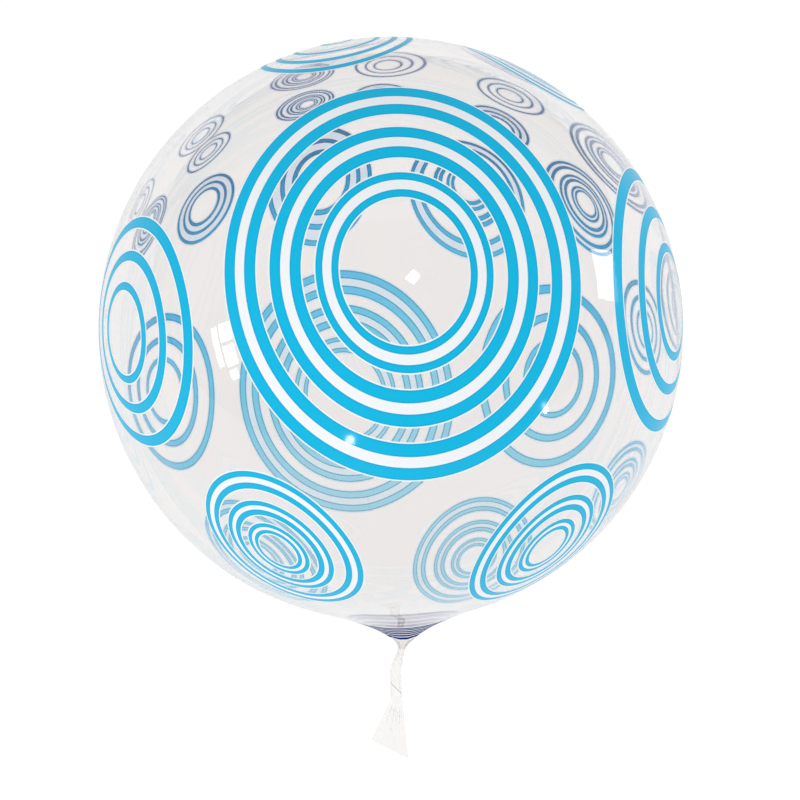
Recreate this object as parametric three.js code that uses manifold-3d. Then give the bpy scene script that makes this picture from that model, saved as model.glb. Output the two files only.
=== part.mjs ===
// A clear bubble balloon, lying on a floor as it does when nobody holds it.
// One piece of film: a ball, drawn in through a shallow funnel to a twisted
// neck, then spread out flat into a tail that is cut off at a slant.
// Millimetres, +Z up. The origin is the middle of the small flat spot that the
// ball rests on. The neck leans down towards -Y until its tail touches the floor.
import * as THREE from "three";
import { mergeVertices } from "three/addons/utils/BufferGeometryUtils.js";
import Module from "manifold-3d";

const wasm = await Module();
wasm.setup();

// Driving dimensions
const ballRadius = 250; // blown up, half of the 500 mm ball
const flatSpotRadius = 30; // where the film's own weight flattens it on the floor
const funnelStartAngle = 17.5; // degrees from the neck's axis, where the film leaves the ball
const funnelPull = 60; // how far the film runs straight on before it turns into the neck
const funnelDepth = 27; // from the ball's own pole to where the funnel ends
const funnelTurn = 8; // how sharply the funnel turns into the neck
const neckRadius = 4.5; // the gathered film, twisted tight
const neckLength = 44; // from the funnel's end to the fold
const neckSway = -8.5; // how far the fold lies to the side of the ball's axis
const neckFlutes = 4; // ridges of gathered film around the neck
const fluteDepth = 0.7;
const neckTurns = 0.6; // of the twist, over the neck's length
const foldHalfWidth = 6; // where the film is folded over itself
const foldHalfDepth = 3.8;
const tailThickness = 5.6; // rumpled layers of film, pressed flat
const tailBevel = 1.2;
const tailLean = 8; // degrees, away from the ball's axis
const tailShortSide = 37;
const tailLongSide = 51;
const tailShortFlare = 17; // how far each side stands out at the cut, past the middle line
const tailLongFlare = 12.5;

// How finely the curved faces are divided
const ballSides = 72;
const ballSteps = 34;
const funnelSteps = 9;
const neckSides = 24;
const neckSteps = 16;

// Worked out from the above
const degree = Math.PI / 180;
const ballHeight = Math.sqrt(ballRadius ** 2 - flatSpotRadius ** 2); // of the ball's middle
const funnelEnd = ballRadius + funnelDepth; // all these are distances from the ball's middle
const foldPlace = funnelEnd + neckLength;
const tailTip = new THREE.Vector2(tailLongFlare, tailLongSide)
  .rotateAround(new THREE.Vector2(), tailLean * degree)
  .add(new THREE.Vector2(neckSway, foldPlace));

// The neck leans down until the underside of the tail's long corner is at the floor.
function neckDip() {
  const halfTail = tailThickness / 2;
  const reach = Math.hypot(tailTip.y, halfTail);
  return Math.asin(ballHeight / reach) - Math.atan2(halfTail, tailTip.y);
}

function solidOf(geometry) {
  const bare = new THREE.BufferGeometry().setAttribute(
    "position",
    (geometry.index ? geometry.toNonIndexed() : geometry).getAttribute("position"),
  );
  const merged = mergeVertices(bare, 1e-4);
  return new wasm.Manifold(
    new wasm.Mesh({
      numProp: 3,
      vertProperties: merged.attributes.position.array,
      triVerts: new Uint32Array(merged.index.array),
    }),
  );
}

function geometryOf(solid) {
  const mesh = solid.getMesh();
  return new THREE.BufferGeometry()
    .setAttribute("position", new THREE.BufferAttribute(mesh.vertProperties, 3))
    .setIndex(new THREE.BufferAttribute(mesh.triVerts, 1));
}

// The ball and its funnel, turned about the neck's axis, with the neck towards -Z.
function ballAndFunnel() {
  const start = funnelStartAngle * degree;
  const leave = new THREE.Vector2(ballRadius * Math.sin(start), -ballRadius * Math.cos(start));
  const along = new THREE.Vector2(-Math.cos(start), -Math.sin(start)).multiplyScalar(funnelPull);
  const funnel = new THREE.CubicBezierCurve(
    new THREE.Vector2(neckRadius, -funnelEnd),
    new THREE.Vector2(neckRadius, -funnelEnd + funnelTurn),
    leave.clone().add(along),
    leave,
  );
  const outline = [new THREE.Vector2(0, -funnelEnd), ...funnel.getPoints(funnelSteps)];
  for (let i = 1; i <= ballSteps; i++) {
    const angle = start + ((Math.PI - start) * i) / ballSteps;
    outline.push(
      new THREE.Vector2(
        i === ballSteps ? 0 : ballRadius * Math.sin(angle),
        -ballRadius * Math.cos(angle),
      ),
    );
  }
  return new THREE.LatheGeometry(outline, ballSides).rotateX(Math.PI / 2);
}

// The line that the middle of the neck follows, from inside the funnel to the fold.
const neckLine = new THREE.CatmullRomCurve3([
  new THREE.Vector3(0, 0, -funnelEnd + funnelTurn),
  new THREE.Vector3(0, 0, -funnelEnd),
  new THREE.Vector3(neckSway * 0.8, 0, -funnelEnd - neckLength * 0.65),
  new THREE.Vector3(neckSway, 0, -foldPlace),
]);

// The gathered neck: a fluted cord of film, twisted, and pressed flatter towards the fold.
function twistedNeck() {
  const points = [];
  const faces = [];
  for (let i = 0; i <= neckSteps; i++) {
    const share = i / neckSteps;
    const middle = neckLine.getPointAt(share);
    const press = share ** 3;
    const halfWidth = THREE.MathUtils.lerp(neckRadius, foldHalfWidth, press);
    const halfDepth = THREE.MathUtils.lerp(neckRadius, foldHalfDepth, press);
    for (let j = 0; j < neckSides; j++) {
      const angle = (2 * Math.PI * j) / neckSides;
      const ridge = Math.cos(neckFlutes * (angle + 2 * Math.PI * neckTurns * share));
      const flute = (fluteDepth * (1 - press) * (ridge - 1)) / 2;
      points.push(
        middle.x + (halfWidth + flute) * Math.cos(angle),
        middle.y + (halfDepth + flute) * Math.sin(angle),
        middle.z,
      );
    }
  }
  const firstCap = points.length / 3;
  points.push(...neckLine.getPointAt(0).toArray(), ...neckLine.getPointAt(1).toArray());
  for (let j = 0; j < neckSides; j++) {
    const next = (j + 1) % neckSides;
    for (let i = 0; i < neckSteps; i++) {
      const upper = i * neckSides;
      const lower = upper + neckSides;
      faces.push(upper + j, lower + j, lower + next, upper + j, lower + next, upper + next);
    }
    const last = neckSteps * neckSides;
    faces.push(firstCap, j, next);
    faces.push(firstCap + 1, last + next, last + j);
  }
  return new THREE.BufferGeometry()
    .setAttribute("position", new THREE.Float32BufferAttribute(points, 3))
    .setIndex(faces);
}

// The spread tail: a flat slab whose broad faces are plane, with a slanted cut at its end.
function flatTail() {
  const outline = new THREE.Shape([
    new THREE.Vector2(-foldHalfWidth, 0),
    new THREE.Vector2(-tailShortFlare, -tailShortSide),
    new THREE.Vector2(tailLongFlare, -tailLongSide),
    new THREE.Vector2(foldHalfWidth, 0),
  ]);
  return new THREE.ExtrudeGeometry(outline, {
    depth: tailThickness - 2 * tailBevel,
    bevelThickness: tailBevel,
    bevelSize: tailBevel,
    bevelOffset: -tailBevel,
    bevelSegments: 1,
  })
    .translate(0, 0, tailBevel - tailThickness / 2)
    .rotateX(Math.PI / 2)
    .rotateY(tailLean * degree)
    .translate(neckSway, 0, -foldPlace + tailBevel);
}

// Everything below the floor's plane, to trim the ball's foot flat.
function belowFloor() {
  const size = 4 * ballRadius;
  return new THREE.BoxGeometry(size, size, size).translate(0, 0, -size / 2);
}

const lying = new THREE.Matrix4()
  .makeTranslation(0, 0, ballHeight)
  .multiply(new THREE.Matrix4().makeRotationX(neckDip() - Math.PI / 2));
const upright = solidOf(ballAndFunnel()).add(solidOf(twistedNeck())).add(solidOf(flatTail()));
const laidDown = solidOf(geometryOf(upright).applyMatrix4(lying));

const clearFilm = new THREE.MeshStandardMaterial({
  color: 0xecebea,
  roughness: 0.08,
  metalness: 0,
  transparent: true,
  opacity: 0.3,
});
const balloon = new THREE.Mesh(geometryOf(laidDown.subtract(solidOf(belowFloor()))), clearFilm);
balloon.name = "balloon";

const part = new THREE.Group();
part.add(balloon);

export default part;
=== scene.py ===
"""A clear bubble balloon printed with groups of rings, lying on its flat spot with its neck on the floor.

Metres, +Z up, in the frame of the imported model. The balloon is shaped upright, with its middle at the
origin and its neck towards -Z, and is then laid down with its print.
"""
import logging
import math
from dataclasses import dataclass
from enum import Enum

import bpy
from mathutils import Matrix, Vector


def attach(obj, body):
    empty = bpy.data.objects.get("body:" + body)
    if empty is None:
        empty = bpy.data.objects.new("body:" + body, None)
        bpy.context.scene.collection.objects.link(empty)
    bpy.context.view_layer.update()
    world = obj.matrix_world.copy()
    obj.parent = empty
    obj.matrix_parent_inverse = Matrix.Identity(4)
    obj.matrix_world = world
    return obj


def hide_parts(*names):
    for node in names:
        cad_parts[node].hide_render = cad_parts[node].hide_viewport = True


MM = 0.001
ROUNDING = 1.0008  # A flat side's middle lies that much nearer to the centre than its corners
log = logging.getLogger("balloon")


def linear(code: str) -> tuple[float, float, float, float]:
    """Turn an sRGB hex value to the linear colour that the shaders take.

    Args:
        code: six hex digits.

    Returns:
        Red, green, blue and a full alpha.
    """
    parts = [int(code[i:i + 2], 16) / 255 for i in (0, 2, 4)]
    return (*(p / 12.92 if p <= 0.04045 else ((p + 0.055) / 1.055) ** 2.4 for p in parts), 1.0)


def add_node(material: bpy.types.Material, kind: str, inputs: dict | None = None,
             links: dict | None = None, **settings: object) -> bpy.types.Node:
    """Add a node to a material.

    Args:
        material: the material whose tree takes the node.
        kind: the node's type.
        inputs: values for the node's sockets, by name or number.
        links: sockets that feed the node's sockets, by name or number.
        settings: properties of the node itself.

    Returns:
        The new node.
    """
    node = material.node_tree.nodes.new(kind)
    for key, value in settings.items():
        setattr(node, key, value)
    for key, value in (inputs or {}).items():
        node.inputs[key].default_value = value
    for key, socket in (links or {}).items():
        material.node_tree.links.new(socket, node.inputs[key])
    return node


def blank_material(name: str) -> bpy.types.Material:
    """Make a material with an empty node tree.

    Args:
        name: the material's name.

    Returns:
        The material.
    """
    material = bpy.data.materials.new(name)
    material.use_nodes = True
    material.node_tree.nodes.clear()
    return material


def smooth_step(low: float, high: float, value: float) -> float:
    """Ease from 0 at low to 1 at high."""
    share = min(max((value - low) / (high - low), 0.0), 1.0)
    return share * share * (3 - 2 * share)


def mix(a: float, b: float, share: float) -> float:
    """Blend from a to b."""
    return a + (b - a) * share


@dataclass(frozen=True)
class ClearFilm:
    """Heat-sealed clear bubble film, a stretched TPU laminate: glossy, faintly grey and slightly wavy."""

    name: str = "clear_stretched_tpu_film"
    wall_tint: str = "f6f4f3"
    ior: float = 1.38
    roughness: float = 0.02
    ripple_size: float = 42 * MM
    ripple_height: float = 0.16 * MM
    ripple_strength: float = 0.35

    def material(self) -> bpy.types.Material:
        """Build the film's material."""
        material = blank_material(self.name)
        place = add_node(material, "ShaderNodeTexCoord")
        ripple = add_node(material, "ShaderNodeTexNoise",
                          {"Scale": 1 / self.ripple_size, "Detail": 2.0, "Roughness": 0.45},
                          {"Vector": place.outputs["Object"]})
        bump = add_node(material, "ShaderNodeBump",
                        {"Strength": self.ripple_strength, "Distance": self.ripple_height},
                        {"Height": ripple.outputs["Fac"]})
        film = add_node(material, "ShaderNodeBsdfPrincipled",
                        {"Base Color": linear(self.wall_tint), "Roughness": self.roughness, "IOR": self.ior,
                         "Transmission Weight": 1.0},
                        {"Normal": bump.outputs["Normal"]})
        clear = add_node(material, "ShaderNodeBsdfTransparent", {"Color": linear(self.wall_tint)})
        path = add_node(material, "ShaderNodeLightPath")
        for_shadows = add_node(material, "ShaderNodeMixShader", None,
                               {0: path.outputs["Is Shadow Ray"], 1: film.outputs[0], 2: clear.outputs[0]})
        for_bounces = add_node(material, "ShaderNodeMixShader", None,
                               {0: path.outputs["Is Diffuse Ray"], 1: for_shadows.outputs[0],
                                2: clear.outputs[0]})
        add_node(material, "ShaderNodeOutputMaterial", None, {"Surface": for_bounces.outputs[0]})
        return material


@dataclass(frozen=True)
class CutFilmEdge:
    """The cut end of the tail: where the blade went through, the clear film looks milky. It also glows a
    little in its own colour, a painted glow for the light on the edge.
    """

    colour: str = "efedec"
    worn: str = "e2dfde"
    nick_size: float = 2.5 * MM
    roughness: float = 0.5
    painted_glow: float = 0.3

    def material(self) -> bpy.types.Material:
        """Build the cut edge's material."""
        material = blank_material("milky_cut_film_edge_with_painted_glow")
        place = add_node(material, "ShaderNodeTexCoord")
        nicks = add_node(material, "ShaderNodeTexNoise", {"Scale": 1 / self.nick_size, "Detail": 2.0},
                         {"Vector": place.outputs["Object"]})
        shade = add_node(material, "ShaderNodeMix", {6: linear(self.colour), 7: linear(self.worn)},
                         {0: nicks.outputs["Fac"]}, data_type="RGBA")
        # The emission is a painted glow, not a lamp.
        edge = add_node(material, "ShaderNodeBsdfPrincipled",
                        {"Roughness": self.roughness, "Emission Strength": self.painted_glow,
                         "Emission Color": linear(self.colour)},
                        {"Base Color": shade.outputs[2]})
        add_node(material, "ShaderNodeOutputMaterial", None, {"Surface": edge.outputs[0]})
        return material


@dataclass(frozen=True)
class PrintedInk:
    """Screen-printed flexible ink: an even, opaque layer with a fine grain from the mesh and a glossy skin.

    The real grain, about 0.1 mm, is too fine to show, so it is drawn coarser.
    """

    name: str
    colour: str
    faded: str
    roughness: float = 0.42
    gloss: float = 0.06
    skin: float = 0.22
    skin_roughness: float = 0.07
    grain_size: float = 1.4 * MM
    grain_height: float = 0.04 * MM
    grain_strength: float = 0.2

    def material(self) -> bpy.types.Material:
        """Build the ink's material for its outer side."""
        material = blank_material(self.name)
        place = add_node(material, "ShaderNodeTexCoord")
        grain = add_node(material, "ShaderNodeTexNoise",
                         {"Scale": 1 / self.grain_size, "Detail": 2.0, "Roughness": 0.6},
                         {"Vector": place.outputs["Object"]})
        shade = add_node(material, "ShaderNodeMix", {6: linear(self.colour), 7: linear(self.faded)},
                         {0: grain.outputs["Fac"]}, data_type="RGBA")
        bump = add_node(material, "ShaderNodeBump",
                        {"Strength": self.grain_strength, "Distance": self.grain_height},
                        {"Height": grain.outputs["Fac"]})
        ink = add_node(material, "ShaderNodeBsdfPrincipled",
                       {"Roughness": self.roughness, "Specular IOR Level": self.gloss,
                        "Coat Weight": self.skin, "Coat Roughness": self.skin_roughness},
                       {"Base Color": shade.outputs[2], "Normal": bump.outputs["Normal"]})
        add_node(material, "ShaderNodeOutputMaterial", None, {"Surface": ink.outputs[0]})
        return material


@dataclass(frozen=True)
class InkUndersideWithPaintedLight:
    """The same ink seen through the film from inside, with painted light and shade in its colour.

    The colour is set by height, as painted light and shade: pale low down, over the white floor, and teal,
    navy and grey towards the crown. Each shade has its height as a share of the ball's. The ink also glows in
    the same colour, a painted glow for the room's light coming through it.
    """

    name: str
    painted_light_shades: tuple[tuple[float, str], ...]
    roughness: float = 0.5
    gloss: float = 0.2
    painted_glow: float = 0.4
    reach: float = 250 * MM

    def material(self) -> bpy.types.Material:
        """Build the ink's material for the side that touches the film."""
        material = blank_material(self.name)
        place = add_node(material, "ShaderNodeTexCoord")
        apart = add_node(material, "ShaderNodeSeparateXYZ", None, {0: place.outputs["Object"]})
        # Painted light and shade: the colour follows the height, pale low down and dark towards the crown.
        share = add_node(material, "ShaderNodeMapRange",
                         {"From Min": Balloon.middle_height - self.reach,
                          "From Max": Balloon.middle_height + self.reach},
                         {"Value": apart.outputs["Z"]})
        ramp = add_node(material, "ShaderNodeValToRGB", None, {"Fac": share.outputs[0]})
        stops = ramp.color_ramp.elements
        while len(stops) < len(self.painted_light_shades):
            stops.new(0.5)
        for stop, (position, colour) in zip(stops, self.painted_light_shades):
            stop.position = position
            stop.color = linear(colour)
        # The emission is a painted glow in the same colour, for light that comes through the ink.
        ink = add_node(material, "ShaderNodeBsdfPrincipled",
                       {"Roughness": self.roughness, "Specular IOR Level": self.gloss,
                        "Emission Strength": self.painted_glow},
                       {"Base Color": ramp.outputs["Color"], "Emission Color": ramp.outputs["Color"]})
        add_node(material, "ShaderNodeOutputMaterial", None, {"Surface": ink.outputs[0]})
        return material


class FilmFinish(Enum):
    """The finishes of the film, in the order of its material slots."""

    CLEAR = 0
    GATHERED = 1
    CUT_EDGE = 2


class Finish(Enum):
    """The inks of one ring group, in the order of its material slots."""

    CYAN = 0
    WHITE = 1
    EDGE = 2
    # The undersides carry painted light and shade by height, and a painted glow.
    CYAN_UNDER = 3
    WHITE_UNDER = 4
    EDGE_UNDER = 5


@dataclass
class Balloon:
    """The film: a ball, drawn in through a shallow funnel to a twisted neck, then a flat tail.

    The dip, the funnel's start, the tail's lean and the sharp angle are in degrees, and the dip is how
    far the neck leans below level, where the tail touches the floor. The spans, the waist's start and
    the pleats' end are shares of the neck's length, from the funnel's end. Each set of pleats has its
    height, its number around the neck and its start in radians. The crease runs between two points, and
    the tail's corners are given from the fold, each across and along.
    """

    radius: float = 250 * MM
    flat_spot: float = 30 * MM
    dip: float = 41.24833
    funnel_start: float = 17.5
    funnel_pull: float = 60 * MM
    funnel_depth: float = 27 * MM
    funnel_turn: float = 8 * MM
    neck_radius: float = 4.5 * MM
    neck_length: float = 44 * MM
    neck_sway: float = -8.5 * MM
    sway_span: tuple[float, float] = (-0.25, 0.5)
    neck_turns: float = 0.21
    waist: float = 0.66
    waist_start: float = -0.2
    press_span: tuple[float, float] = (0.05, 0.38)
    pleats: tuple[tuple[float, int, float], ...] = ((0.55, 9, 0.6), (0.35, 14, 2.1), (0.25, 23, 4.0))
    pleats_depth: float = 246.25 * MM
    pleats_end: float = 0.85
    pleat_height: float = 1.3 * MM
    pleat_share: float = 0.2
    pressed_pleat_share: float = 0.08
    fold_half_width: float = 4.8 * MM
    fold_half_depth: float = 2.6 * MM
    crease: tuple[tuple[float, float], ...] = ((-12.9 * MM, 306 * MM), (-2.6 * MM, 316.5 * MM))
    crease_height: float = 1.9 * MM
    crease_width: float = 0.8 * MM
    lap_height: float = 1.0 * MM
    lap_fade: tuple[float, float] = (1.5 * MM, 9 * MM)
    tail_lean: float = 8.0
    tail_short: tuple[float, float] = (-18 * MM, 38 * MM)
    tail_long: tuple[float, float] = (15 * MM, 51 * MM)
    tail_half_end: float = 0.5 * MM
    tail_rumple: float = 0.9 * MM
    wall: float = 0.25 * MM
    sharp_angle: float = 70.0
    sides: int = 224
    rings: int = 112
    funnel_steps: int = 22
    neck_steps: int = 60
    tail_steps: int = 18

    middle_height = math.sqrt(radius ** 2 - flat_spot ** 2)

    @property
    def funnel_end(self) -> float:
        """Distance from the ball's middle to where the funnel ends."""
        return self.radius + self.funnel_depth

    def funnel_point(self, share: float) -> tuple[float, float]:
        """Follow the funnel from where it leaves the ball to the neck.

        Args:
            share: 0 at the ball and 1 at the neck.

        Returns:
            The distance from the neck's axis and the height.
        """
        start = math.radians(self.funnel_start)
        leave = Vector((self.radius * math.sin(start), -self.radius * math.cos(start)))
        pull = Vector((-math.cos(start), -math.sin(start))) * self.funnel_pull
        curve = (leave, leave + pull, Vector((self.neck_radius, -self.funnel_end + self.funnel_turn)),
                 Vector((self.neck_radius, -self.funnel_end)))
        rest = 1 - share
        point = (curve[0] * rest ** 3 + curve[1] * 3 * rest ** 2 * share
                 + curve[2] * 3 * rest * share ** 2 + curve[3] * share ** 3)
        return point.x, point.y

    def funnel_height(self, distance: float) -> float:
        """Give the funnel's height at a distance from the neck's axis."""
        low, high = 0.0, 1.0
        for _ in range(30):
            middle = (low + high) / 2
            if self.funnel_point(middle)[0] > distance:
                low = middle
            else:
                high = middle
        return self.funnel_point(low)[1]

    def pleated(self, point: Vector) -> Vector:
        """Draw the film into pleats that grow from the funnel towards the neck.

        Args:
            point: a point of the smooth ball, funnel or neck, upright.

        Returns:
            The same point on the pleated film.
        """
        depth = -point.z
        amount = smooth_step(self.pleats_depth, self.funnel_end, depth)
        if amount <= 0:
            return point
        pleat = self.pleat_at(math.atan2(point.y, point.x))
        distance = math.hypot(point.x, point.y)
        push = pleat * amount * min(self.pleat_share * distance, self.pleat_height)
        along = (depth - self.funnel_end) / self.neck_length
        grow = (distance + push) / max(distance, 1e-6) * self.drawn_in(along)
        return Vector((point.x * grow + self.swayed(along), point.y * grow, point.z))

    def pleat_at(self, angle: float) -> float:
        """Give how far the pleats stand out, from about -1 to 1, at an angle around the neck."""
        return sum(height * math.sin(count * angle + start) for height, count, start in self.pleats)

    def drawn_in(self, along: float) -> float:
        """Give how far the waist draws the film in, by the place along the neck."""
        return mix(1.0, self.waist, smooth_step(self.waist_start, 0.0, along))

    def swayed(self, along: float) -> float:
        """Give how far the neck lies to the side, by the place along it."""
        return self.neck_sway * smooth_step(*self.sway_span, along)

    def laid_down(self, point: Vector) -> Vector:
        """Lay an upright point down on the floor, held where the flat spot and the tail touch it."""
        turned = Matrix.Rotation(math.radians(self.dip - 90), 3, "X") @ point
        turned.z = max(turned.z + self.middle_height, 0.0)
        return turned

    def stations(self) -> list[tuple[float, float]]:
        """List the plain film's rings below the ball.

        Returns:
            The distance from the neck's axis and the height of each, from the ball to the tail's cut.
        """
        fold = self.funnel_end + self.neck_length
        rings = [self.funnel_point(i / self.funnel_steps) for i in range(self.funnel_steps + 1)]
        rings += [(self.neck_radius, -mix(self.funnel_end, fold, i / self.neck_steps))
                  for i in range(1, self.neck_steps + 1)]
        rings += [(self.neck_radius, -fold - self.tail_long[1] * i / self.tail_steps)
                  for i in range(1, self.tail_steps + 1)]
        return rings

    def open_sphere(self) -> tuple[bpy.types.Object, tuple[float, float]]:
        """Add the ball's sphere and take away its cap at the neck's side.

        Returns:
            The film's object, with the opening's edge selected, and that edge's distance and height.
        """
        bpy.ops.object.select_all(action="DESELECT")
        bpy.ops.mesh.primitive_uv_sphere_add(segments=self.sides, ring_count=self.rings,
                                             radius=self.radius)
        film = bpy.context.object
        film.name = "film"
        edge = -self.radius * math.cos(math.radians(self.funnel_start))
        mesh = film.data
        bpy.context.tool_settings.mesh_select_mode = (False, False, True)
        bpy.ops.object.mode_set(mode="EDIT")
        bpy.ops.mesh.select_all(action="DESELECT")
        bpy.ops.object.mode_set(mode="OBJECT")
        for polygon in mesh.polygons:
            polygon.select = polygon.center.z < edge
        bpy.ops.object.mode_set(mode="EDIT")
        bpy.ops.mesh.delete(type="FACE")
        bpy.ops.mesh.select_all(action="SELECT")
        bpy.ops.mesh.region_to_loop()
        bpy.ops.object.mode_set(mode="OBJECT")
        rim = [v for v in mesh.vertices if v.select]
        rim_height = sum(v.co.z for v in rim) / len(rim)
        return film, (math.hypot(rim[0].co.x, rim[0].co.y), rim_height)

    def build(self) -> bpy.types.Object:
        """Model the film from a sphere, opened at its pole and extruded down to the tail's cut.

        Returns:
            The film's object.
        """
        film, place = self.open_sphere()
        mesh = film.data
        bpy.ops.object.mode_set(mode="EDIT")
        for distance, height in self.stations():
            bpy.ops.mesh.extrude_region_move(
                TRANSFORM_OT_translate={"value": (0, 0, height - place[1])})
            ratio = distance / place[0]
            bpy.ops.transform.resize(value=(ratio, ratio, 1), center_override=(0, 0, height))
            place = (distance, height)
        bpy.ops.object.mode_set(mode="OBJECT")
        gathered = ClearFilm("gathered_clear_tpu_film", "fbfaf9", 1.24, 0.13, 9 * MM, 0.3 * MM)
        for finish in (ClearFilm(), gathered, CutFilmEdge()):
            mesh.materials.append(finish.material())
        for polygon in mesh.polygons:
            at_neck = polygon.center.z < -self.funnel_end
            polygon.material_index = (FilmFinish.GATHERED if at_neck else FilmFinish.CLEAR).value
        for vertex in mesh.vertices:
            vertex.co = self.laid_down(self.shaped(vertex.co))
        wall = film.modifiers.new("wall", "SOLIDIFY")
        wall.thickness = self.wall
        wall.offset = -1
        wall.material_offset_rim = FilmFinish.CUT_EDGE.value
        bpy.ops.object.modifier_apply(modifier=wall.name)
        bpy.ops.object.shade_smooth_by_angle(angle=math.radians(self.sharp_angle))
        return film

    def shaped(self, point: Vector) -> Vector:
        """Give an upright point of the plain film its pleats, its twisted neck and its flat tail.

        Args:
            point: a point of the ball, the funnel or the straight tube below it.

        Returns:
            The point on the shaped film, upright.
        """
        depth = -point.z - self.funnel_end
        if depth <= 0:
            return self.pleated(point)
        angle = math.atan2(point.y, point.x)
        along = depth / self.neck_length
        if along <= 1:
            return self.neck_point(angle, along)
        return self.tail_point(angle, (depth - self.neck_length) / self.tail_long[1])

    def neck_point(self, angle: float, along: float) -> Vector:
        """Place a point of the gathered neck, which twists and flattens towards the fold."""
        press = smooth_step(*self.press_span, along)
        around = angle + 2 * math.pi * self.neck_turns * along
        half_width = mix(self.neck_radius * self.waist, self.fold_half_width, press)
        half_depth = mix(self.neck_radius * self.waist, self.fold_half_depth, press)
        share = mix(self.pleat_share, self.pressed_pleat_share, press)
        grow = 1 + share * (1 - smooth_step(self.pleats_end, 1.0, along)) * self.pleat_at(angle)
        place = Vector((self.swayed(along) + half_width * grow * math.cos(around),
                        half_depth * grow * math.sin(around),
                        -self.funnel_end - self.neck_length * along))
        return self.creased(place, math.sin(around))

    def creased(self, place: Vector, layer: float) -> Vector:
        """Press the diagonal crease, where the neck's film is folded over itself, into its near side.

        Args:
            place: a point of the neck or tail, upright.
            layer: -1 on the side that faces the camera to 1 on the other.

        Returns:
            The point with the crease.
        """
        low, high = self.crease
        slope = (high[1] - low[1]) / (high[0] - low[0])
        past = -place.z - low[1] - slope * (place.x - low[0])
        if layer >= 0:
            return place
        ridge = self.crease_height * math.exp(-(past / self.crease_width) ** 2)
        lap = self.lap_height * smooth_step(-1 * MM, 0.0, past) * (1 - smooth_step(*self.lap_fade, past))
        return place + Vector((0, -(ridge + lap) * min(1.0, -2 * layer), 0))

    def tail_point(self, angle: float, along: float) -> Vector:
        """Place a point of the spread tail, whose two layers are rumpled and cut off at a slant."""
        turn = angle + 2 * math.pi * self.neck_turns
        across = math.cos(turn)
        layer = math.sin(turn)
        lean = math.radians(self.tail_lean)
        side = (across + 1) / 2
        corner_x = mix(self.tail_short[0], self.tail_long[0], side)
        corner_z = mix(self.tail_short[1], self.tail_long[1], side)
        x = mix(across * self.fold_half_width, corner_x, along)
        z = -corner_z * along
        rumple = (0.5 * math.sin(13 * across + 1.5 * along) + 0.35 * math.sin(29 * across + 0.8 + 2 * along)
                  + 0.3 * math.sin(47 * across + 2.6 * layer + 3 * along)
                  + 0.25 * math.sin(11 * along + 9 * across))
        free = math.sqrt(max(1 - across ** 2, 0.0)) * smooth_step(0.0, 0.3, along)
        y = (layer * mix(self.fold_half_depth, self.tail_half_end, smooth_step(0.0, 0.9, along))
             + self.tail_rumple * rumple * free)
        place = Vector((self.neck_sway + x * math.cos(lean) + z * math.sin(lean), y,
                        -self.funnel_end - self.neck_length - x * math.sin(lean) + z * math.cos(lean)))
        return self.creased(place, layer)


class Design(Enum):
    """The printed designs: the inner and outer edges of each ring's cyan lines, in shares of the radius."""

    LARGE_PAIRS = ((0.345, 0.383, 0.431, 0.469), (0.549, 0.611, 0.664, 0.725), (0.809, 0.877, 0.934, 1.0))
    SMALL_PAIRS = ((0.250, 0.296, 0.334, 0.384), (0.491, 0.557, 0.607, 0.664), (0.803, 0.872, 0.936, 1.0))
    THICK_RINGS = ((0.367, 0.434), (0.616, 0.701), (0.904, 1.0))
    MIDDLE_PAIRS = ((0.250, 0.300, 0.330, 0.378), (0.452, 0.516, 0.542, 0.602), (0.780, 0.846, 0.936, 1.0))
    SMALL_RINGS = ((0.472, 0.558, 0.684, 0.768, 0.916, 1.0),)
    THIN_RINGS = ((0.355, 0.411), (0.621, 0.683), (0.925, 1.0))
    NECK_PAIRS = ((0.300, 0.385, 0.420, 0.500), (0.540, 0.620, 0.660, 0.745), (0.800, 0.880, 0.915, 1.0))
    TOP_RINGS = ((0.15, 0.21), (0.507, 0.564), (0.727, 0.800), (0.925, 1.0))


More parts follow.
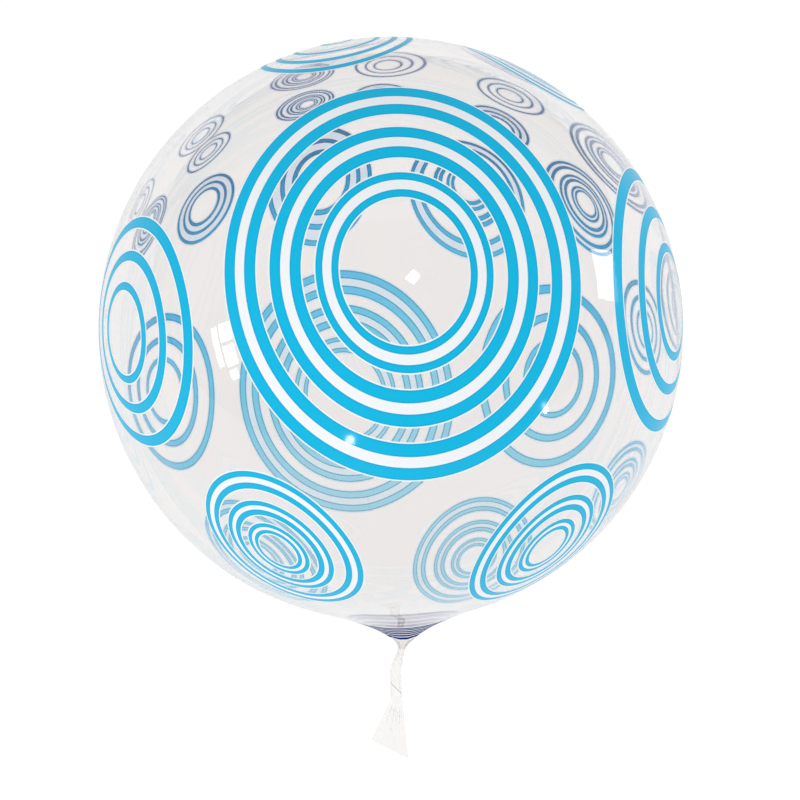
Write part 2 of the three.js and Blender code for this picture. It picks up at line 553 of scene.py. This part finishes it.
@dataclass
class RingGroup:
    """One printed group of rings: a flat print that the blown-up film stretches and carries along.

    Its place is in degrees around the neck's axis from the side that faces the camera, and above the
    ball's widest line, and its sizes are in millimetres.
    """

    name: str
    design: Design
    around: float
    above: float
    radius: float
    stretch: float = 1.0
    turn: float = 0.0
    drift: tuple[float, float] = (0.0, 0.0)
    sides: int = 128
    halo: float = 1.1
    edge_share: float = 0.2
    widest_edge: float = 1.2
    # Takes the neck's inks, dense and darkened with painted shade.
    dense_and_shaded: bool = False
    proud: float = 0.05
    proud_step: float = 0.006
    sunk: float = 0.1
    sunk_step: float = 0.002
    widest_strip: float = 4.0
    sharp_angle: float = 40.0

    def bands(self) -> list[list[tuple[float, Finish]]]:
        """List each band's edges from inside out.

        Returns:
            For each band, its edges' radii in millimetres, each with the ink that follows it.
        """
        bands = []
        for shares in self.design.value:
            edges = [share * self.radius for share in shares]
            band = [(edges[0] - self.halo, Finish.WHITE)]
            for low, high in zip(edges[::2], edges[1::2]):
                rim = min((high - low) * self.edge_share, self.widest_edge)
                band += [(low, Finish.EDGE), (low + rim, Finish.CYAN), (high - rim, Finish.EDGE),
                         (high, Finish.WHITE)]
            band.append((edges[-1] + self.halo, Finish.WHITE))
            bands.append(band)
        return bands

    def steps(self) -> list[tuple[float, Finish | None]]:
        """List all radii in millimetres, each with the ink up to the next one, or None for bare film."""
        steps: list[tuple[float, Finish | None]] = []
        for band in self.bands():
            for (here, ink), (there, _) in zip(band, band[1:]):
                parts = max(1, math.ceil((there - here) / self.widest_strip))
                steps += [(mix(here, there, i / parts), ink) for i in range(parts)]
            steps.append((band[-1][0], None))
        return steps

    def laid_on(self, balloon: Balloon, x: float, y: float) -> Vector:
        """Lay a point of the flat print on the film.

        Args:
            balloon: the film that carries the print.
            x: millimetres across the flat print.
            y: millimetres up the flat print.

        Returns:
            The point on the film's outer face, upright.
        """
        share = math.hypot(x, y) / self.radius
        wide = x * math.sqrt(self.stretch)
        tall = y / math.sqrt(self.stretch)
        turn = math.radians(self.turn)
        east = wide * math.cos(turn) - tall * math.sin(turn) + share * self.drift[0]
        north = wide * math.sin(turn) + tall * math.cos(turn) + share * self.drift[1]
        around = math.radians(self.around)
        above = math.radians(self.above)
        centre = Vector((math.cos(above) * math.sin(around), -math.cos(above) * math.cos(around),
                         math.sin(above)))
        to_east = Vector((math.cos(around), math.sin(around), 0))
        to_north = centre.cross(to_east)
        away = math.hypot(east, north) * MM / balloon.radius
        course = (to_east * east + to_north * north).normalized()
        point = (centre * math.cos(away) + course * math.sin(away)) * balloon.radius
        leave = balloon.radius * math.sin(math.radians(balloon.funnel_start))
        distance = math.hypot(point.x, point.y)
        if point.z < 0 and distance < leave:
            point.z = balloon.funnel_height(distance)
        return balloon.pleated(point)

    def build(self, balloon: Balloon, printed_before: int) -> bpy.types.Object:
        """Model the print as closed thin bands in the film's outer face.

        Args:
            balloon: the film that carries the print.
            printed_before: how many groups were printed before it. It lies over those that it crosses.

        Returns:
            The group's object.
        """
        steps = self.steps()
        bpy.ops.object.select_all(action="DESELECT")
        bpy.ops.mesh.primitive_circle_add(vertices=self.sides, radius=steps[0][0] * MM)
        group = bpy.context.object
        group.name = self.name
        mesh = group.data
        bpy.context.tool_settings.mesh_select_mode = (True, False, False)
        bpy.ops.object.mode_set(mode="EDIT")
        bpy.ops.mesh.select_all(action="SELECT")
        for (here, ink), (there, _) in zip(steps, steps[1:]):
            if ink is None:
                bpy.ops.mesh.duplicate()
            else:
                bpy.ops.mesh.extrude_region_move()
            ratio = there / here
            bpy.ops.transform.resize(value=(ratio, ratio, 1), center_override=(0, 0, 0))
        bpy.ops.mesh.select_all(action="SELECT")
        bpy.ops.mesh.normals_make_consistent(inside=False)
        bpy.ops.object.mode_set(mode="OBJECT")
        for finish in Finish:
            mesh.materials.append((NECK_INKS_WITH_PAINTED_SHADE if self.dense_and_shaded else INKS)[finish])
        for polygon in mesh.polygons:
            reach = ROUNDING * math.hypot(polygon.center.x, polygon.center.y) / MM
            polygon.material_index = [ink for at, ink in steps if at < reach][-1].value
        for vertex in mesh.vertices:
            point = self.laid_on(balloon, vertex.co.x / MM, vertex.co.y / MM)
            vertex.co = balloon.laid_down(point)
        self.face_outwards(mesh)
        proud = self.proud + self.proud_step * printed_before
        sunk = self.sunk - self.sunk_step * printed_before
        wall = group.modifiers.new("ink_layer", "SOLIDIFY")
        wall.thickness = (proud + sunk) * MM
        wall.offset = (proud - sunk) / (proud + sunk)
        wall.material_offset = len(Finish) // 2
        bpy.ops.object.modifier_apply(modifier=wall.name)
        bpy.ops.object.shade_smooth_by_angle(angle=math.radians(self.sharp_angle))
        return group

    def face_outwards(self, mesh: bpy.types.Mesh) -> None:
        """Turn the print's faces away from the ball's middle."""
        mesh.update()
        middle = Vector((0, 0, Balloon.middle_height))
        first = mesh.polygons[0]
        if first.normal.dot(first.center - middle) < 0:
            mesh.flip_normals()


GROUPS = (
    RingGroup("rings_front_large", Design.LARGE_PAIRS, 2.7, 9.6, 150.9, 0.86, 4.6, (1.5, 4.8), 176),
    RingGroup("rings_left_thick", Design.THICK_RINGS, -58.8, 1.5, 90.0, 0.898, 28.2, (9.3, 1.7), 144),
    RingGroup("rings_right_thick", Design.THICK_RINGS, 68.7, 2.6, 110.6, 0.926, -36.4, (-1.0, 7.5), 152),
    RingGroup("rings_lower_left", Design.SMALL_PAIRS, -31.0, -42.1, 70.4, 0.803, 3.5, (3.0, 0.9)),
    RingGroup("rings_lower_right", Design.SMALL_PAIRS, 41.7, -45.3, 74.2, 0.778, 10.7, (-0.1, 1.9)),
    RingGroup("rings_top", Design.TOP_RINGS, -33.6, 75.5, 73.4, 0.777, 33.6, (3.1, -7.9)),
    RingGroup("rings_upper_right", Design.SMALL_PAIRS, 79.1, 60.2, 62.0, 0.852, -42.7, (-15.0, -4.0)),
    RingGroup("rings_left_rim_low", Design.SMALL_PAIRS, -77.4, -54.4, 22.0, 0.3, 10.6, (0.0, 0.0), 96),
    RingGroup("rings_at_neck", Design.NECK_PAIRS, 0.0, -90.0, 41.5, 1.4, 0.0, (0.0, 0.0), 96, dense_and_shaded=True),
    RingGroup("rings_back_large", Design.LARGE_PAIRS, -168.5, -14.2, 119.4, 0.868, 0.6, (1.8, -1.0), 160),
    RingGroup("rings_back_right", Design.THICK_RINGS, 139.6, -12.0, 86.9, 0.874, -15.7, (3.0, 0.6)),
    RingGroup("rings_back_left", Design.THICK_RINGS, -118.8, -10.4, 71.4, 0.802, 32.3, (-2.4, -3.6)),
    RingGroup("rings_back_lower_right", Design.SMALL_PAIRS, 147.0, -59.7, 69.6, 0.702, -24.5, (1.0, 2.1)),
    RingGroup("rings_back_lower_left", Design.SMALL_PAIRS, -120.5, -53.4, 68.2, 0.776, 29.6, (0.0, -3.3)),
    RingGroup("rings_back_middle", Design.SMALL_RINGS, -162.5, 37.5, 59.7, 0.78, -5.9, (3.9, -5.4), 112),
    RingGroup("rings_back_middle_right", Design.MIDDLE_PAIRS, 156.5, 34.6, 62.0, 0.871, -9.2, (4.3, -15.0)),
    RingGroup("rings_back_upper_pairs", Design.SMALL_PAIRS, -148.4, 58.8, 23.6, 0.689, 56.7, (3.6, -0.4), 88),
    RingGroup("rings_back_crown_pairs", Design.SMALL_PAIRS, -132.9, 68.4, 27.1, 0.772, 64.7, (4.0, -0.3), 88),
    RingGroup("rings_back_crown_thin", Design.THIN_RINGS, 175.3, 73.6, 29.6, 0.78, 70.6, (-4.6, 6.0), 88),
    RingGroup("rings_back_crown_low", Design.SMALL_RINGS, 179.1, 60.9, 25.3, 0.763, -88.1, (1.0, 0.6), 88),
    RingGroup("rings_back_high_thin", Design.THIN_RINGS, 122.1, 56.8, 29.1, 0.748, -43.7, (-3.7, -0.1), 88),
    RingGroup("rings_back_high_small", Design.SMALL_RINGS, 139.5, 48.7, 28.0, 0.736, -39.1, (-2.6, 0.6), 88),
    RingGroup("rings_right_rim_high", Design.SMALL_PAIRS, 101.0, 34.3, 49.9, 0.738, -42.6, (-4.1, -3.0), 112),
    RingGroup("rings_back_right_high", Design.SMALL_PAIRS, 122.5, 26.9, 44.3, 0.749, -16.6, (5.9, -3.6), 112),
    RingGroup("rings_back_right_small", Design.THICK_RINGS, 110.4, -1.9, 38.7, 0.699, -25.3, (2.4, 2.7), 96),
    RingGroup("rings_right_rim_middle", Design.THICK_RINGS, 89.7, 2.5, 45.0, 0.87, -72.6, (6.0, 4.5), 96),
    RingGroup("rings_right_rim_low", Design.SMALL_PAIRS, 99.8, -36.8, 47.2, 0.792, -52.4, (2.8, 2.6), 112),
    RingGroup("rings_left_small", Design.SMALL_RINGS, -127.2, 30.6, 34.1, 0.798, 23.3, (-3.6, -3.8), 96),
    RingGroup("rings_left_rim_thin", Design.THIN_RINGS, -108.3, 46.6, 23.6, 0.773, 27.3, (2.0, 1.5), 88),
    RingGroup("rings_left_high_thin", Design.THIN_RINGS, -118.4, 43.4, 20.9, 0.631, 28.6, (0.0, -0.6), 88),
    RingGroup("rings_left_rim_narrow", Design.THIN_RINGS, -97.5, 29.1, 22.2, 0.753, -13.1, (-1.3, 0.2), 88),
    RingGroup("rings_left_rim_pairs", Design.SMALL_PAIRS, -107.7, 26.4, 26.1, 0.65, 14.2, (-1.4, -8.0), 88),
)

INKS: dict[Finish, bpy.types.Material] = {}
NECK_INKS_WITH_PAINTED_SHADE: dict[Finish, bpy.types.Material] = {}


def mix_inks() -> None:
    """Make the ink finishes for the outer sides and for the undersides."""
    INKS[Finish.CYAN] = PrintedInk("cyan_screen_print_ink", "04b0dc", "08bde8").material()
    INKS[Finish.WHITE] = PrintedInk("white_screen_print_ink", "ebeef1", "f3f6f8").material()
    INKS[Finish.EDGE] = PrintedInk("cyan_screen_print_ink_overprinted_edge", "00a4d0", "02b1dc").material()
    # The undersides' colours change with height as painted light and shade: pale low down, and teal, navy and
    # grey towards the crown, with the edges darker still.
    INKS[Finish.CYAN_UNDER] = InkUndersideWithPaintedLight(
        "cyan_ink_underside_painted_light",
        ((0.02, "a4e0f2"), (0.14, "72d2ee"), (0.27, "52c2ea"), (0.38, "1ca4d4"), (0.46, "0c80b0"),
         (0.56, "14689a"), (0.66, "406692"), (0.76, "646c94"))).material()
    INKS[Finish.EDGE_UNDER] = InkUndersideWithPaintedLight(
        "cyan_ink_underside_edge_painted_light",
        ((0.02, "68b0cc"), (0.14, "42a6ce"), (0.27, "34a0cc"), (0.38, "0e7cae"), (0.46, "065c88"),
         (0.56, "0c4870"), (0.66, "2c466c"), (0.76, "52567e"))).material()
    INKS[Finish.WHITE_UNDER] = InkUndersideWithPaintedLight(
        "white_ink_underside_painted_light",
        ((0.1, "e6f3fa"), (0.4, "dbe8f2"), (0.6, "d5dbe8"))).material()
    # The neck's inks are darker than elsewhere. Partly this is because the ink lies denser on the
    # little-stretched film. Mostly it is painted shade for the shade these rings lie in under the ball: the
    # cyan turned navy and the white greyed to lilac. The navy underside also has a faint painted glow.
    navy = PrintedInk("cyan_ink_dense_with_painted_shade_at_neck", "08205a", "163472",
                      gloss=0.0, skin=0.0).material()
    lilac = PrintedInk("white_ink_dense_with_painted_shade_at_neck", "e6e8f4", "eff0f8",
                       gloss=0.0, skin=0.0).material()
    navy_under = InkUndersideWithPaintedLight("cyan_ink_dense_underside_with_painted_shade",
                              ((0.0, "16368a"), (1.0, "16368a")), painted_glow=0.12).material()
    lilac_under = InkUndersideWithPaintedLight("white_ink_dense_underside_with_painted_shade",
                               ((0.0, "eeecf6"), (1.0, "eeecf6"))).material()
    NECK_INKS_WITH_PAINTED_SHADE.update({Finish.CYAN: navy, Finish.WHITE: lilac, Finish.EDGE: navy,
                       Finish.CYAN_UNDER: navy_under, Finish.WHITE_UNDER: lilac_under,
                       Finish.EDGE_UNDER: navy_under})


@dataclass(frozen=True)
class Lamp:
    """A flat lamp that faces the ball's middle.

    Azimuth is in degrees to the right of the camera's side, seen from above, and elevation in degrees
    above the ball's middle. Distance, size and shift (along its own width and height) are in metres,
    power is in watts and roll in degrees about its own axis. The film mirrors it where mirrored is set.
    """

    name: str
    azimuth: float
    elevation: float
    distance: float
    size: tuple[float, float]
    power: float
    mirrored: bool = True
    roll: float = 0.0
    shift: tuple[float, float] = (0.0, 0.0)

    def build(self) -> None:
        """Hang the lamp."""
        turn = math.radians(self.azimuth)
        rise = math.radians(self.elevation)
        away = Vector((math.cos(rise) * math.sin(turn), -math.cos(rise) * math.cos(turn), math.sin(rise)))
        data = bpy.data.lights.new(self.name, "AREA")
        data.shape = "RECTANGLE"
        data.size, data.size_y = self.size
        data.energy = self.power
        lamp = bpy.data.objects.new(self.name, data)
        bpy.context.scene.collection.objects.link(lamp)
        facing = (away.to_track_quat("Z", "Y").to_matrix()
                  @ Matrix.Rotation(math.radians(self.roll), 3, "Z"))
        lamp.location = (Vector((0, 0, Balloon.middle_height)) + away * self.distance
                         + facing @ Vector((*self.shift, 0)))
        lamp.rotation_euler = facing.to_euler()
        lamp.visible_glossy = self.mirrored
        lamp.visible_transmission = False
        lamp.visible_camera = False


LAMPS = (
    Lamp("overhead_softbox", 0, 80, 2.4, (2.4, 2.4), 8, mirrored=False),
    Lamp("front_fill", -10, 58, 2.4, (1.6, 1.6), 9, mirrored=False),
    Lamp("ceiling_lamp", 19.8, 65.4, 1.8, (0.13, 0.11), 0.8, roll=30.0),
    Lamp("low_lamp_left", -14.9, 10.1, 1.8, (0.08, 0.08), 2.2),
    Lamp("low_lamp_right", 51.2, 3.5, 1.8, (0.06, 0.12), 1.0),
    Lamp("right_window", 96.0, 11.7, 1.5, (0.27, 0.35), 2.5, roll=-61.0),
)


@dataclass(frozen=True)
class FloorCard:
    """Matt white card: it scatters evenly, and is lit so brightly that it shows white to its edge."""

    colour: str = "606060"
    glow_colour: str = "ffffff"
    glow: float = 0.94
    roughness: float = 0.9
    grain_size: float = 2.5 * MM
    grain_height: float = 0.1 * MM
    grain_strength: float = 0.05

    def material(self) -> bpy.types.Material:
        """Build the card's material."""
        material = blank_material("matt_white_card")
        place = add_node(material, "ShaderNodeTexCoord")
        grain = add_node(material, "ShaderNodeTexNoise", {"Scale": 1 / self.grain_size, "Detail": 2.0},
                         {"Vector": place.outputs["Object"]})
        bump = add_node(material, "ShaderNodeBump",
                        {"Strength": self.grain_strength, "Distance": self.grain_height},
                        {"Height": grain.outputs["Fac"]})
        card = add_node(material, "ShaderNodeBsdfPrincipled",
                        {"Base Color": linear(self.colour), "Roughness": self.roughness,
                         "Specular IOR Level": 0.0, "Emission Color": linear(self.glow_colour),
                         "Emission Strength": self.glow},
                        {"Normal": bump.outputs["Normal"]})
        add_node(material, "ShaderNodeOutputMaterial", None, {"Surface": card.outputs[0]})
        return material


@dataclass
class Studio:
    """A plain pale floor, soft light from overhead and a camera at the photograph's angle."""

    elevation: float = 48.5
    distance: float = 1.5
    roll: float = 2.4
    aim_right: float = 7.9 * MM
    aim_down: float = 59.6 * MM
    half_frame: float = 13.03
    floor_size: float = 30.0
    floor_gap: float = 0.3 * MM
    window_place: tuple[float, float, float] = (-65.4, 19.5, 1.5)
    window_size: tuple[float, float] = (0.22, 0.46)
    window_roll: float = 55.5
    window_glow: float = 32.0
    room_brightness: float = 0.58
    panes: tuple[tuple[float, float, float, float], ...] = (
        (0.0, 0.31, 0.02, 0.72), (0.4, 1.0, 0.0, 0.33), (0.4, 1.0, 0.39, 0.76), (0.4, 0.82, 0.82, 1.0))

    def camera(self) -> None:
        """Place the camera, which looks a little below and to the right of the ball's middle."""
        up_angle = math.radians(self.elevation)
        to_camera = Vector((0, -math.cos(up_angle), math.sin(up_angle)))
        rise = Vector((0, math.sin(up_angle), math.cos(up_angle)))
        roll = math.radians(self.roll)
        up = rise * math.cos(roll) + Vector((1, 0, 0)) * math.sin(roll)
        right = up.cross(to_camera)
        middle = Vector((0, 0, Balloon.middle_height))
        spot = middle + to_camera * self.distance
        back = (to_camera * self.distance - right * self.aim_right + up * self.aim_down).normalized()
        side = up.cross(back).normalized()
        above = back.cross(side)
        bpy.ops.object.camera_add()
        camera = bpy.context.object
        camera.name = "camera"
        turn = Matrix((side, above, back)).transposed().to_4x4()
        camera.matrix_world = Matrix.Translation(spot) @ turn
        camera.data.sensor_fit = "HORIZONTAL"
        camera.data.angle = 2 * math.radians(self.half_frame)
        bpy.context.scene.camera = camera

    def floor(self) -> None:
        """Lay the floor."""
        bpy.ops.mesh.primitive_plane_add(size=self.floor_size, location=(0, 0, -self.floor_gap))
        floor = bpy.context.object
        floor.name = "floor"
        floor.data.materials.append(FloorCard().material())

    def window(self) -> None:
        """Light the left side through a window of four panes, which the film mirrors."""
        width, height = self.window_size
        for number, (left, right, top, bottom) in enumerate(self.panes):
            size = ((right - left) * width, (bottom - top) * height)
            shift = (((left + right) / 2 - 0.5) * width, (0.5 - (top + bottom) / 2) * height)
            Lamp(f"window_pane_{number + 1}", *self.window_place, size,
                 self.window_glow * size[0] * size[1], roll=self.window_roll, shift=shift).build()

    def build(self) -> None:
        """Set up the floor, the lights, the surroundings and the camera."""
        self.camera()
        self.floor()
        for lamp in LAMPS:
            lamp.build()
        self.window()
        world = bpy.data.worlds.new("pale_room")
        world.use_nodes = True
        sky = world.node_tree.nodes["Background"]
        sky.inputs["Color"].default_value = (1, 1, 1, 1)
        sky.inputs["Strength"].default_value = self.room_brightness
        scene = bpy.context.scene
        scene.world = world
        scene.view_settings.view_transform = "Standard"
        scene.cycles.max_bounces = 24
        scene.cycles.transmission_bounces = 20
        scene.cycles.transparent_max_bounces = 24
        scene.cycles.caustics_reflective = False
        scene.cycles.caustics_refractive = False


def main() -> None:
    """Build the balloon and its studio."""
    logging.basicConfig(level=logging.INFO, format="%(name)s: %(message)s")
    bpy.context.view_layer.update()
    mix_inks()
    balloon = Balloon()
    film = balloon.build()
    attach(film, "root")
    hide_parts("balloon")
    log.info("film: %d faces", len(film.data.polygons))
    for number, group in enumerate(GROUPS):
        rings = group.build(balloon, number)
        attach(rings, "root")
        log.info("%s: %d faces", group.name, len(rings.data.polygons))
    Studio().build()
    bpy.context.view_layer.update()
    bpy.ops.object.select_all(action="DESELECT")


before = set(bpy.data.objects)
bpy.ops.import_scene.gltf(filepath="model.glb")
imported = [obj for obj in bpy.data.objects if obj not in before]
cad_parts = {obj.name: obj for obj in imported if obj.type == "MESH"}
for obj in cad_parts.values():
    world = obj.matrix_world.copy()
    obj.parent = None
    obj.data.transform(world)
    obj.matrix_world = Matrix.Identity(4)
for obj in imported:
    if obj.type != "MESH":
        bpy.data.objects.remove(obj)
if __name__ == "__main__":
    main()
